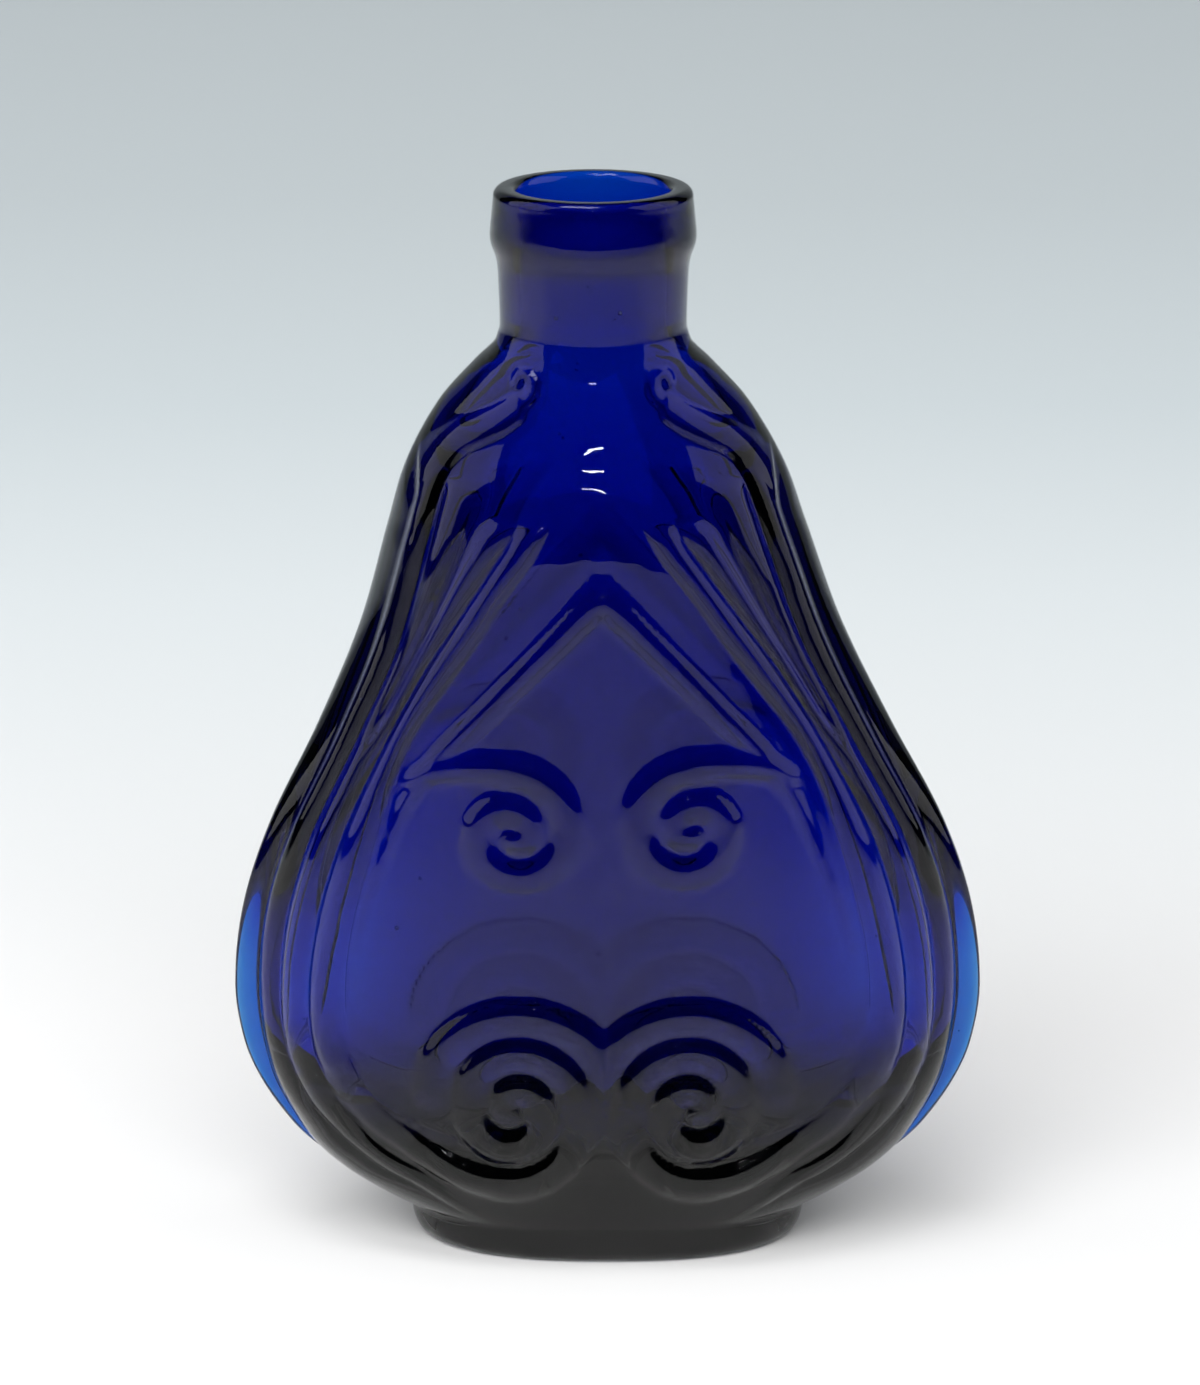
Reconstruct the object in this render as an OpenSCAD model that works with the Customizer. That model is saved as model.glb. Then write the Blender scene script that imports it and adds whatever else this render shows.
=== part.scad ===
// Antique scroll flask in cobalt glass, half-pint size, with an applied lip.
// Frame: the origin is the middle of the foot on the table, +Z is up and -Y is the front.

/* [Foot] */
// Width of the standing ring across the bottle
foot_w = 51; // [44:1:54]
// Depth of the standing ring from front to back
foot_d = 32; // [28:1:34]
// Width of the foot at its top, in the notch under the body
foot_top_w = 55.6; // [52:0.2:62]
// Depth of the foot at its top
foot_top_d = 36; // [35:0.5:40]
// Height of the foot
foot_h = 5; // [4:0.5:8]
// Width of the flat ring that the bottle stands on
standing_ring = 3.5; // [2:0.5:6]
// Height of the hollow pressed up under the foot
push_up = 2.4; // [1:0.2:3.5]

/* [Body] */
// Width of the body over the side seams
body_w = 105; // [95:1:120]
// Depth of the body at the plain panel, without the relief
body_d = 44; // [40:1:52]
// Height of the widest part above the table
belly_z = 36; // [30:1:44]
// Thickness of the wall at the middle of a panel
wall = 4.1; // [3:0.1:5]
// Thickness of the wall at the shoulders, where the blown glass is thinner
shoulder_wall = 3; // [2.5:0.1:4]
// Thickness of the wall at the side seams, with the fin
seam_wall = 5.2; // [4.5:0.1:6]
// Height of the edge of the cavity's floor above the table
floor_z = 11.5; // [9:0.5:16]
// How far the middle of the cavity's floor rises above its edge
kick_up = 9.5; // [1:0.5:12]
// Thickness of the fin that stands out along the side seams
fin = 2.4; // [2:0.1:3.5]
// Height at which the fin has blended into the body
fin_top = 84; // [74:1:94]
// How far the neck leans sideways from the middle of the body
lean = -2; // [-4:0.5:4]

/* [Relief] */
// Height of the moulded ribs down each side
rib_h = 1.4; // [0.5:0.1:1.8]
// Height of the scrolls and the gable on the panels
scroll_h = 1.1; // [0.5:0.1:1.6]
// Distance from one turn of a scroll to the next
scroll_pitch = 5.4; // [4.8:0.1:6]
// Distance of each scroll's eye from the middle of the panel
scroll_x = 12.4; // [11:0.1:14]
// Height of the upper eyes above the table
upper_eye_z = 63.7; // [58:0.1:68]
// Height of the lower eyes above the table
lower_eye_z = 24.3; // [22:0.1:28]
// Height of the ridge at the top of the gable
gable_z = 96.3; // [90:0.1:104]
// Width of the ridge at the top of the gable
gable_ridge = 5; // [3:0.25:6]

/* [Neck and lip] */
// Diameter of the bore that takes a cork
bore_d = 20; // [16:0.25:21]
// Thickness of the neck's wall
neck_wall = 2.9; // [2.5:0.1:4]
// Height of the neck and the lip above the body
neck_h = 20; // [16:0.5:26]
// Height of the whole bottle
bottle_h = 150; // [140:1:165]
// Height of the applied ring of the lip
lip_h = 8.6; // [7:0.2:11]
// How far the lip stands out from the neck
lip_step = 1.35; // [0.8:0.05:3]
// Thickness of the lip glass above the end of the neck
lip_cover = 3; // [2:0.25:4]
// How much wider than the bore the mouth is
mouth_flare = 0.8; // [0.5:0.1:2.4]

/* [Hidden] */
cobalt = [0.05, 0.09, 0.42];
turn = 360;

// Columns of the outer grid: shares of each strip between two lines, then even ones over half the panel
strip_steps = [[0, 0.06, 0.2, 0.45, 0.72], [0, 0.22, 0.5, 0.78], [0, 0.26, 0.53, 0.77], [0, 0.25, 0.5, 0.75]];
panel_cols = 20;
// Rows of the outer grid up to the top of the scrolls, and from there to the neck
scroll_rows = 42;
shoulder_rows = 20;
body_rows = scroll_rows + shoulder_rows;
// Rows of the cavity, and its columns over half of one shell
cavity_rows = 20;
cavity_cols = 12;
// How much the cavity's rows crowd towards its floor
CAVITY_CROWD = 1.5;
foot_rows = 4;

// Side curve of the body above the belly: share of the way up to the neck, share of the swell
SIDE = [[0, 1], [0.13, 0.965], [0.255, 0.864], [0.407, 0.683], [0.56, 0.518], [0.713, 0.403],
        [0.803, 0.333], [0.894, 0.212], [0.953, 0.084], [0.98, 0.03], [1, 0]];
// Depth curve of the body above its fullest height, in the same terms
DEPTH = [[0, 1], [0.45, 1], [0.65, 0.965], [0.77, 0.86], [0.85, 0.56], [0.93, 0.22], [0.97, 0.06], [1, 0]];
// Lines between the side ribs: share of the body's height, then the share of the half width of each
// line from the seam's own, where the fin begins, to the edge of the panel
LINES = [[0, 0.99, 0.6, 0.5, 0.36], [0.05, 0.981, 0.68, 0.56, 0.42], [0.07, 0.974, 0.755, 0.61, 0.45],
         [0.1, 0.961, 0.818, 0.707, 0.5], [0.13, 0.954, 0.854, 0.75, 0.607],
         [0.17, 0.944, 0.869, 0.78, 0.664], [0.25, 0.934, 0.873, 0.796, 0.693],
         [0.45, 0.934, 0.872, 0.784, 0.686], [0.58, 0.93, 0.852, 0.748, 0.663],
         [0.68, 0.92, 0.823, 0.648, 0.504], [0.78, 0.908, 0.801, 0.452, 0.285],
         [0.88, 0.89, 0.72, 0.32, 0.18], [0.94, 0.862, 0.45, 0.31, 0.165], [1, 0.86, 0.45, 0.3, 0.16]];
// The second strip holds two ribs above this share of the height, and the outer one takes FORK of it
FORK_RISE = 0.536;
FORK = 0.53;
// Where the hook's rib runs out, and the rounded ends of the other ribs, as shares of the body's
// height: outer and inner rib of the second strip, then the rib of the third
HOOK_TOP = 0.896;
TIPS = [0.854, 0.813, 0.815];
TIP_ROUND = 0.021;

// Ridges on the panel: distance out from the start, height over it, share of the full width and
// share of the full relief
GABLE = [[-3, -2.1, 0.98, 1], [0, 0, 1, 1], [2.2, -1.3, 0.98, 1], [5.9, -5, 0.88, 1],
         [15.4, -15.1, 0.78, 1], [22.7, -23.1, 0.68, 1], [26.6, -28.8, 0.46, 1], [29.8, -37.1, 0.38, 1],
         [34.5, -52.1, 0.24, 1]];
UPPER_ARM = [[-1.2, 9.1, 0.85, 1], [5.3, 9.1, 0.83, 1], [8.1, 8.8, 0.81, 1], [10.8, 8.2, 0.74, 1],
             [12.8, 7.2, 0.59, 1], [14.8, 5.7, 0.37, 1]];
LOWER_ARM = [[-1.4, -11.7, 1.02, 1], [4, -11.5, 0.98, 1], [7.5, -10.5, 0.93, 0.9], [11.4, -8.5, 0.85, 0.7],
             [15.4, -5.9, 0.8, 0.5], [21.8, -0.6, 0.78, 0.5], [25.2, 5.7, 0.78, 0.5]];
HOOK_ARM = [[-1.1, -2.5, 0.63, 1], [0.5, -3.3, 0.72, 1], [3.1, -4.9, 0.78, 1], [5.8, -6.3, 0.8, 1],
            [8.7, -7.9, 0.8, 1], [11.5, -10.7, 0.78, 1], [13.7, -14.3, 0.74, 1], [14.9, -17.9, 0.67, 1]];
// The hook's eye: distance out from the middle, and below the neck
HOOK_EYE = [9.7, 5.1];
// Body width that these ridges are drawn for, in millimetres
TABLE_W = 105;
unit = body_w / TABLE_W;

// Derived sizes
neck_z = bottle_h - neck_h;
neck_od = bore_d + 2 * neck_wall;
lip_z = bottle_h - lip_h;
neck_top = bottle_h - lip_cover;
// Half width of the body under the neck, with what is left of the seam rib
seam_top = neck_od / 2 + 0.2 * unit;
// Height at which the plain section reaches its full depth
full_z = foot_h + 0.2 * (neck_z - foot_h);
// A ridge is a share of its own width high, up to the limit of its kind: scrolls, then side ribs
RIDGE_SHARE = 0.23;
RIB_SHARE = 0.27;
// Fullness of a ridge: 2 is a plain arch, and more gives a broader crest with steeper sides
RIDGE_FULL = 2.2;
// The lower scrolls hang this much fuller below their eyes than above them
HANG = 1.12;
// How much deeper the scrolls' relief grows towards the foot, from a height and over a distance
DEEPER = 0.3;
deeper_from = 22 * unit;
deeper_over = 8 * unit;
// Scrolls: outer radius of the first turn in pitches, and the turns at which each ridge starts and ends
UPPER_R = 2.11;
LOWER_R = 2.44;
UPPER_TURNS = [-0.08, 1.9];
LOWER_TURNS = [-0.1, 2.2];
BROW_TURNS = [-0.76, -0.22];
// Turns over which a ridge rises from its start and falls to its end
START_FADE = 0.08;
END_FADE = 0.06;
// Radius of the boss that stands for the hook's curl
hook_r = 3.3 * unit;
// Span of each arm in its own table, and the distance over which its ends rise
GABLE_SPAN = [-2, 34];
UPPER_SPAN = [-1, 14];
LOWER_SPAN = [-1, 25];
HOOK_SPAN = [-1, 14.5];
ARM_FADE = 1.5;
// Exponents of the plain section: across, and front to back at the foot and over the body, with the
// share of the body's height over which one turns into the other
FULL_ACROSS = 2.5;
FOOT_CORNER = 2;
BODY_CORNER = 1.6;
CORNER_OVER = 0.15;
// The same for the cavity, which turns to a circle at the bore as the outside does
CAVITY_ACROSS = 2.8;
CAVITY_CORNER = 1.9;
CIRCLE = 2;
// Share of the body's height at which the section begins to turn round
ROUND_FROM = 0.72;
// Height over which the cavity rounds up from its floor, and the floor's share of the full size
floor_round = 12 * unit;
FLOOR_SHARE = 0.62;
// Exponents of the side curve and of the depth curve under the belly
SWELL_IN = 2.45;
SWELL_OUT = 0.92;
DEPTH_IN = 2.5;
// Shares of the neck's height at which the lean starts and over which it grows
LEAN_FROM = 0.42;
LEAN_OVER = 0.56;
// The same for the panel's wall, which thins towards the shoulders
THIN_FROM = 0.46;
THIN_OVER = 0.38;
// Shares of the body's height over which ribs rise at the foot, the hook's rib runs out, the second
// strip forks, and the third rib rises, with the share at which that one starts
RIB_START = 0.05;
HOOK_FADE = 0.04;
FORK_OVER = 0.064;
THIRD_FROM = 0.144;
THIRD_OVER = 0.056;

function clamp01(t) = min(1, max(0, t));
function smooth(t) = let(c = clamp01(t)) c * c * (3 - 2 * c);
function mix(a, b, t) = a + (b - a) * t;

// Smooth curve through column k of a table whose first column is x
function knot(c, x, i = 0) = i >= len(c) - 2 || x < c[i + 1][0] ? i : knot(c, x, i + 1);
function grade(c, i, k) = let(a = max(0, i - 1), b = min(len(c) - 1, i + 1))
    (c[b][k] - c[a][k]) / (c[b][0] - c[a][0]);
function curve(c, x, k = 1) = let(i = knot(c, x), d = c[i + 1][0] - c[i][0], t = clamp01((x - c[i][0]) / d))
    c[i][k] * (1 + 2 * t) * pow(1 - t, 2) + grade(c, i, k) * d * t * pow(1 - t, 2)
    + c[i + 1][k] * t * t * (3 - 2 * t) + grade(c, i + 1, k) * d * t * t * (t - 1);

// Half width, half depth and sideways shift of the body at a height
function swell(z) = let(t = clamp01((z - foot_h) / (belly_z - foot_h)))
    pow(1 - pow(1 - t, SWELL_IN), SWELL_OUT);
function half_w(z) = z < belly_z
    ? mix(foot_top_w / 2, body_w / 2, swell(z))
    : mix(seam_top, body_w / 2, curve(SIDE, (z - belly_z) / (neck_z - belly_z)));
function half_d(z) = z < full_z
    ? mix(foot_top_d / 2, body_d / 2, 1 - pow(1 - (z - foot_h) / (full_z - foot_h), DEPTH_IN))
    : mix(neck_od / 2, body_d / 2, curve(DEPTH, (z - full_z) / (neck_z - full_z)));
function shift(z) = lean * smooth((z - LEAN_FROM * neck_z) / (LEAN_OVER * neck_z));
// How near the section is to the neck's circle
function rise(z) = clamp01((z - foot_h) / (neck_z - foot_h));
function round_top(z) = smooth((rise(z) - ROUND_FROM) / (1 - ROUND_FROM));

// Depth of the plain section at a share u of the half width, with the fin outside the line
function oval(u, z) = let(low = mix(FOOT_CORNER, BODY_CORNER, smooth(rise(z) / CORNER_OVER)),
    across = mix(FULL_ACROSS, CIRCLE, round_top(z)), corner = mix(low, CIRCLE, round_top(z)))
    pow(max(0, 1 - pow(min(1, abs(u)), across)), 1 / corner);
function fin_share(z) = smooth((fin_top - z) / (fin_top - belly_z)) * smooth(z / foot_h - 1);
function section_y(u, z, line) = let(
    past = clamp01((abs(u) - line) / (1 - line)),
    finned = max(half_d(z) * oval(u / line, z), fin / 2 * sqrt(1 - pow(past, 2))))
    mix(half_d(z) * oval(u, z), finned, fin_share(z));

// Rounded ridge, 0 at its edges and 1 on the crest, and its height for a width
function bump(f) = 1 - pow(min(1, abs(2 * f - 1)), RIDGE_FULL);
function ridge_h(width) = min(scroll_h, RIDGE_SHARE * width);
function rib_rise(width) = min(rib_h, RIB_SHARE * width);
// Rounded end of a rib: 1 below it, 0 above it
function dome(r, top) = sqrt(1 - pow(clamp01((r - top + TIP_ROUND) / TIP_ROUND), 2));

// Relief of a rib: strip number, its width, the share across it, and the share of the body's height
function rib(k, width, f, r) = let(one = rib_rise(width) * bump(f)) smooth(r / RIB_START) * (
    k == 1 ? one * smooth((HOOK_TOP - r) / HOOK_FADE)
    : k == 2 ? mix(one, rib_rise(width * FORK) * bump(f / FORK) * dome(r, TIPS[0])
        + rib_rise(width * (1 - FORK)) * bump((f - FORK) / (1 - FORK)) * dome(r, TIPS[1]),
        smooth((r - FORK_RISE) / FORK_OVER))
    : k == 3 ? one * dome(r, TIPS[2]) * smooth((r - THIRD_FROM) / THIRD_OVER) : 0);

// Scroll: a ridge that winds in by one pitch a turn, from one turn count to another
function scroll(x, z, outer, from, way, turns) =
    let(r = norm([x, z]), a = way * (atan2(z, x) - from), b = (a % turn + turn) % turn / turn,
        n = (outer * scroll_pitch - r) / scroll_pitch - b, whole = floor(n), t = whole + b)
    ridge_h(scroll_pitch) * bump(n - whole)
    * smooth((t - turns[0]) / START_FADE) * smooth((turns[1] - t) / END_FADE);
// Arm: a ridge along one of the tables, from a start and with a full width, over a span of distances
function arm(table, x, z, width, span) =
    let(e = 0.2, at = x / unit, slope = (curve(table, at + e) - curve(table, at - e)) / (2 * e),
        d = (z - unit * curve(table, at)) / sqrt(1 + slope * slope), w = width * curve(table, at, 2))
    at < span[0] || at > span[1] ? 0 : ridge_h(w) * curve(table, at, 3) * bump(0.5 + d / w)
        * smooth((at - span[0]) / ARM_FADE) * smooth((span[1] - at) / ARM_FADE);
// Relief of one side of the panel, with x measured out from its middle
function panel(x, z) = let(
    up = z - upper_eye_z, drop = z - lower_eye_z, low = drop < 0 ? drop / HANG : drop,
    eye = scroll_x - x, hook_x = x - HOOK_EYE[0] * unit, hook_z = z - neck_z + HOOK_EYE[1] * unit)
    (1 + DEEPER * smooth((deeper_from - z) / deeper_over)) * max(
        scroll(eye, up, UPPER_R, 90, -1, UPPER_TURNS),
        scroll(eye, low, LOWER_R, -90, 1, LOWER_TURNS),
        scroll(eye, low, LOWER_R, -90, 1, BROW_TURNS),
        arm(GABLE, x, z - gable_z, gable_ridge, GABLE_SPAN),
        arm(UPPER_ARM, -eye, up, scroll_pitch, UPPER_SPAN),
        arm(LOWER_ARM, -eye, drop, scroll_pitch, LOWER_SPAN),
        arm(HOOK_ARM, hook_x, hook_z, scroll_pitch, HOOK_SPAN),
        ridge_h(hook_r) * bump(0.5 + norm([hook_x, hook_z]) / (2 * hook_r)));

// What one row shares: its height, half width, lines from the seam to the middle, and strip widths
function row_at(z) = let(
    w = half_w(z), lines = [1, for (k = [1:4]) curve(LINES, rise(z), k), 0],
    at = [for (l = lines) [l * w, section_y(l, z, lines[1])]])
    [z, w, lines, [for (k = [0:4]) norm(at[k + 1] - at[k])]];
// One point of the outer skin: the plain section pushed out along its own normal
function skin(row, side, col) = let(
    z = row[0], w = row[1], lines = row[2], k = col[0], e = 0.004,
    u = mix(lines[k], lines[k + 1], col[1]),
    tx = w * 2 * e, ty = section_y(u + e, z, lines[1]) - section_y(u - e, z, lines[1]),
    t = norm([tx, ty]),
    h = max(rib(k, row[3][k], col[1], rise(z)), panel(u * w, z)),
    n = u > 0.999 ? [1, 0] : [-ty / t, tx / t])
    [shift(z) + side * (u * w + h * n[0]), -(section_y(u, z, lines[1]) + h * n[1]), z];
// Columns of a row as [strip, share across it], from the seam to the middle of the panel
COLUMNS = [for (k = [0:3], f = strip_steps[k]) [k, f], for (i = [0:panel_cols]) [4, i / panel_cols]];
function skin_row(z) = let(row = row_at(z), n = len(COLUMNS))
    [for (c = COLUMNS) skin(row, -1, c), for (i = [n - 2:-1:0]) skin(row, 1, COLUMNS[i])];

// Half sizes of the cavity: rounded up from its floor, and round at the bore
function cavity_grow(z) = let(t = clamp01((z - floor_z) / floor_round))
    mix(FLOOR_SHARE, 1, sqrt(1 - pow(1 - t, 2)));
function cavity_w(z) = (half_w(z) - mix(seam_wall, seam_top - bore_d / 2, round_top(z))) * cavity_grow(z);
// The wall thins from the panel's to the shoulder's, and then turns into the neck's
function panel_wall(z) = mix(wall, shoulder_wall, smooth((z - THIN_FROM * neck_z) / (THIN_OVER * neck_z)));
function cavity_d(z) = (half_d(z) - mix(panel_wall(z), neck_wall, round_top(z))) * cavity_grow(z);
// The corners of the oval are fuller in the body than at the bore
function cavity_row(z, n) = let(
    p = mix(CAVITY_ACROSS, CIRCLE, round_top(z)), q = mix(CAVITY_CORNER, CIRCLE, round_top(z)))
    [for (i = [0:n]) let(a = 180 - 180 * i / n)
        [shift(z) + cavity_w(z) * sign(cos(a)) * pow(abs(cos(a)), 2 / p),
         i == 0 || i == n ? 0 : -cavity_d(z) * pow(sin(a), 2 / q), z]];

scroll_top = upper_eye_z + 3 * scroll_pitch;
outer_z = concat(
    [for (i = [0:scroll_rows - 1]) mix(foot_h, scroll_top, i / scroll_rows)],
    [for (i = [0:shoulder_rows]) mix(scroll_top, neck_z, i / shoulder_rows)]);
cavity_z = [for (i = [0:cavity_rows]) mix(floor_z, neck_z, pow(i / cavity_rows, CAVITY_CROWD))];

// Faces of a grid of rows that each hold cols + 1 points, with diagonals that mirror about its middle
function grid_faces(rows, cols, first) = [for (i = [0:rows - 1], j = [0:cols - 1])
    let(a = first + i * (cols + 1) + j, b = a + cols + 1, c = b + 1, d = a + 1)
    each j < cols / 2 ? [[a, b, c], [a, c, d]] : [[a, b, d], [b, c, d]]];
function turned(faces) = [for (f = faces) [f[0], f[2], f[1]]];
// Faces that join two rows of points whose counts differ
function strip(a, b, i = 0, j = 0) = i >= len(a) - 1 && j >= len(b) - 1 ? []
    : j >= len(b) - 1 || (i < len(a) - 1 && (i + 1) / (len(a) - 1) <= (j + 1) / (len(b) - 1))
    ? [[a[i], a[i + 1], b[j]], each strip(a, b, i + 1, j)]
    : [[a[i], b[j + 1], b[j]], each strip(a, b, i, j + 1)];

module half_body() {
    oc = len(skin_row(foot_h)) - 1;
    ic = 2 * cavity_cols;
    outer = [for (z = outer_z) each skin_row(z)];
    inner = [for (z = cavity_z) each cavity_row(z, ic)];
    base_i = len(outer);
    apex = base_i + len(inner);
    top_o = body_rows * (oc + 1);
    top_i = base_i + cavity_rows * (ic + 1);
    left_o = [for (i = [0:body_rows]) i * (oc + 1)];
    right_o = [for (i = [0:body_rows]) i * (oc + 1) + oc];
    left_i = [for (i = [0:cavity_rows]) base_i + i * (ic + 1)];
    right_i = [for (i = [0:cavity_rows]) base_i + i * (ic + 1) + ic];
    polyhedron(
        points = concat(outer, inner, [[0, 0, floor_z + kick_up]]),
        faces = concat(
            grid_faces(body_rows, oc, 0),
            turned(grid_faces(cavity_rows, ic, base_i)),
            [[for (j = [0:oc]) j]],
            [for (j = [ic:-1:1]) [base_i + j, base_i + j - 1, apex]],
            strip([for (j = [0:ic]) top_i + j], [for (j = [0:oc]) top_o + j]),
            strip(left_i, left_o),
            strip(right_o, right_i),
            [[0, oc, base_i + ic, apex, base_i]]),
        convexity = 6);
}

module front_shell() {
    color(cobalt) half_body();
}

module back_shell() {
    color(cobalt) mirror([0, 1, 0]) half_body();
}

// The foot: its top face repeats the body's lowest row, and its underside is pressed up
module base() {
    top = skin_row(foot_h);
    half = len(top) - 1;
    loop = concat(top, [for (i = [half - 1:-1:1]) [top[i][0], -top[i][1], foot_h]]);
    n = len(loop);
    // Each ring is the top outline scaled: [share across, share front to back, height]
    kw = foot_w / foot_top_w;
    kd = foot_d / foot_top_d;
    iw = (foot_w - 2 * standing_ring) / foot_top_w;
    id = (foot_d - 2 * standing_ring) / foot_top_d;
    rings = concat(
        [for (i = [foot_rows:-1:0]) let(t = i / foot_rows, b = sqrt(1 - pow(1 - t, 2)))
            [mix(kw, 1, b), mix(kd, 1, b), foot_h * t]],
        [for (i = [0:3]) let(a = 90 * i / 4) [iw * cos(a), id * cos(a), push_up * sin(a)]]);
    middle = len(rings) * n;
    color(cobalt) polyhedron(
        points = concat(
            [for (r = rings, p = loop) [p[0] * r[0], p[1] * r[1], r[2]]],
            [[0, 0, push_up]]),
        faces = concat(
            [[for (j = [n - 1:-1:0]) j]],
            [for (k = [0:len(rings) - 2], j = [0:n - 1]) let(a = k * n + j, b = k * n + (j + 1) % n)
                each [[a, b, b + n], [a, b + n, a + n]]],
            [for (j = [0:n - 1]) let(a = (len(rings) - 1) * n + j, b = (len(rings) - 1) * n + (j + 1) % n)
                [a, b, middle]]),
        convexity = 4);
}

// Outside of the neck and of the lip: share of the height, share of the lip's step
NECK_SIDE = [[0, 0], [0.26, 0.04], [0.53, 0.11], [0.77, 0.22], [0.9, 0.41], [1, 0.7]];
LIP_SIDE = [[0, 0.7], [0.1, 0.93], [0.23, 1], [0.35, 0.95], [0.84, 0.65]];
// Radii that round the outer and the inner edge of the lip
lip_edge = 0.15 * lip_h;
mouth_edge = 0.14 * lip_h;

module neck() {
    color(cobalt) translate([shift(neck_z), 0, 0]) rotate_extrude($fn = 96) polygon(concat(
        [[bore_d / 2, neck_z]],
        [for (p = NECK_SIDE) [neck_od / 2 + lip_step * p[1], mix(neck_z, lip_z, p[0])]],
        [[neck_od / 2, lip_z], [neck_od / 2, neck_top], [bore_d / 2, neck_top]]
    ));
}

module lip_ring() {
    mouth = (bore_d + mouth_flare) / 2;
    rim = neck_od / 2 + lip_step * LIP_SIDE[len(LIP_SIDE) - 1][1];
    color(cobalt) translate([shift(neck_z), 0, 0]) rotate_extrude($fn = 96) polygon(concat(
        [[bore_d / 2, neck_top], [neck_od / 2, neck_top], [neck_od / 2, lip_z]],
        [for (p = LIP_SIDE) [neck_od / 2 + lip_step * p[1], lip_z + lip_h * p[0]]],
        [for (a = [15:15:90]) [rim - lip_edge * (1 - cos(a)), bottle_h - lip_edge * (1 - sin(a))]],
        [for (a = [90:15:180]) [mouth + mouth_edge * (1 + cos(a)), bottle_h - mouth_edge * (1 - sin(a))]]
    ));
}

base();
front_shell();
back_shell();
neck();
lip_ring();
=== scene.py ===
import math

import bpy
import numpy as np
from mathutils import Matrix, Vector


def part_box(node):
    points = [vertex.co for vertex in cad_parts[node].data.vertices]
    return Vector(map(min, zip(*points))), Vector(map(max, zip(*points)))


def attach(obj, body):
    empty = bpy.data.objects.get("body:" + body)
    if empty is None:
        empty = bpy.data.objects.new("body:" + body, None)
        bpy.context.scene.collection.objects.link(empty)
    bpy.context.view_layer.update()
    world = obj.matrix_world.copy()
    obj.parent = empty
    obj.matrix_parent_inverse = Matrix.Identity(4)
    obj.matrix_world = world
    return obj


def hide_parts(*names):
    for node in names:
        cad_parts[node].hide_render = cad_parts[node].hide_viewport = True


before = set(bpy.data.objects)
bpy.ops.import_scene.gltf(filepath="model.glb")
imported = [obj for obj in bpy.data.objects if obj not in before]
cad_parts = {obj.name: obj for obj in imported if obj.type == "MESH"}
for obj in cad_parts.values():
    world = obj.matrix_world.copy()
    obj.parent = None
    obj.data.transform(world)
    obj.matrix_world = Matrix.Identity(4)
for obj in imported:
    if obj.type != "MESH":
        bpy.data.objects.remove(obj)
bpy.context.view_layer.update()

MM = 0.001

# ---- Sizes, in millimetres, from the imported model's boxes ----


def box_mm(node):
    """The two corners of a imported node's box."""
    low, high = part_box(node)
    return [v / MM for v in low], [v / MM for v in high]


shell_high = box_mm("front_shell")[1]
base_high = box_mm("base")[1]
neck_low, neck_high = box_mm("neck")
lip_high = box_mm("lip_ring")[1]

BODY_HALF = shell_high[0]
FOOT_H = base_high[2]
FOOT_TOP_HALF_W = base_high[0]
FOOT_TOP_HALF_D = base_high[1]
NECK_Z = neck_low[2]
LEAN = (neck_low[0] + neck_high[0]) / 2
BOTTLE_H = lip_high[2]

# The foot where it stands: half its width and depth, the width of its standing ring, and the height of the
# hollow inside that
FOOT_HALF_W = 25.5
FOOT_HALF_D = 16.0
STANDING_RING = 3.5
PUSH_UP = 2.4
# Half depth of the plain body, without its relief
BODY_HALF_D = 22.0
# Walls of the cavity at the middle of a panel, at the shoulder and at the seams
PANEL_WALL = 4.1
SHOULDER_WALL = 3.7
SIDE_WALL = 5.2
# Height at which the panel's wall starts to thin, and over how much it does
THIN_FROM = 60
THIN_OVER = 50
# Height of the cavity's floor, how far up its rounding reaches, the share of the full width that is left
# there, and the height and steepness of the dome that is pushed up in it
FLOOR_Z = 11.5
FLOOR_ROUND = 22.0
FLOOR_SHARE = 0.5
KICK_UP = 9.5
KICK_POWER = 1.5
# Half thickness of the fin that stands out along the lower seams, the height at which it ends, and the
# height up to which it is whole
FIN = 1.17
FIN_TOP = 84
FIN_FULL = 36
# Radii of the neck, of its bore and of the mouth
NECK_R = 12.9
BORE_R = 10.0
MOUTH_R = 10.4
BODY_H = NECK_Z - FOOT_H

# Share of the body's height at which its depth is full, and how quickly the depth gets there from the foot
FULL_RISE = 0.2
DEPTH_IN = 2.5
# Share of the neck's height from which the bottle leans over, and the share over which it gets there
LEAN_FROM = 0.42
LEAN_OVER = 0.56
# Share of the body's height from which its section turns round
ROUND_FROM = 0.72
# Exponents of the section's oval across and through the body, and through it at the foot
SECTION_ACROSS = 2.5
SECTION_THROUGH = 1.6
FOOT_THROUGH = 2
FOOT_BLEND = 0.15
# The same for the cavity
CAVITY_ACROSS = 2.8
CAVITY_THROUGH = 1.9

# Half width of the body at the side seams: share of the body's height, share of the widest
OUTLINE = [(0, 0.53), (0.014, 0.608), (0.038, 0.714), (0.061, 0.792), (0.085, 0.851), (0.133, 0.93),
           (0.18, 0.977), (0.248, 1), (0.344, 0.974), (0.44, 0.898), (0.554, 0.762), (0.67, 0.638),
           (0.784, 0.552), (0.852, 0.499), (0.92, 0.408), (0.965, 0.312), (0.985, 0.263), (1, 0.249)]
# Half depth of the plain panel above its fullest height: share of the way up, share of the swell
DEPTH = [(0, 1), (0.45, 1), (0.65, 0.965), (0.77, 0.86), (0.85, 0.56), (0.93, 0.22), (0.97, 0.06), (1, 0)]
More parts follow.
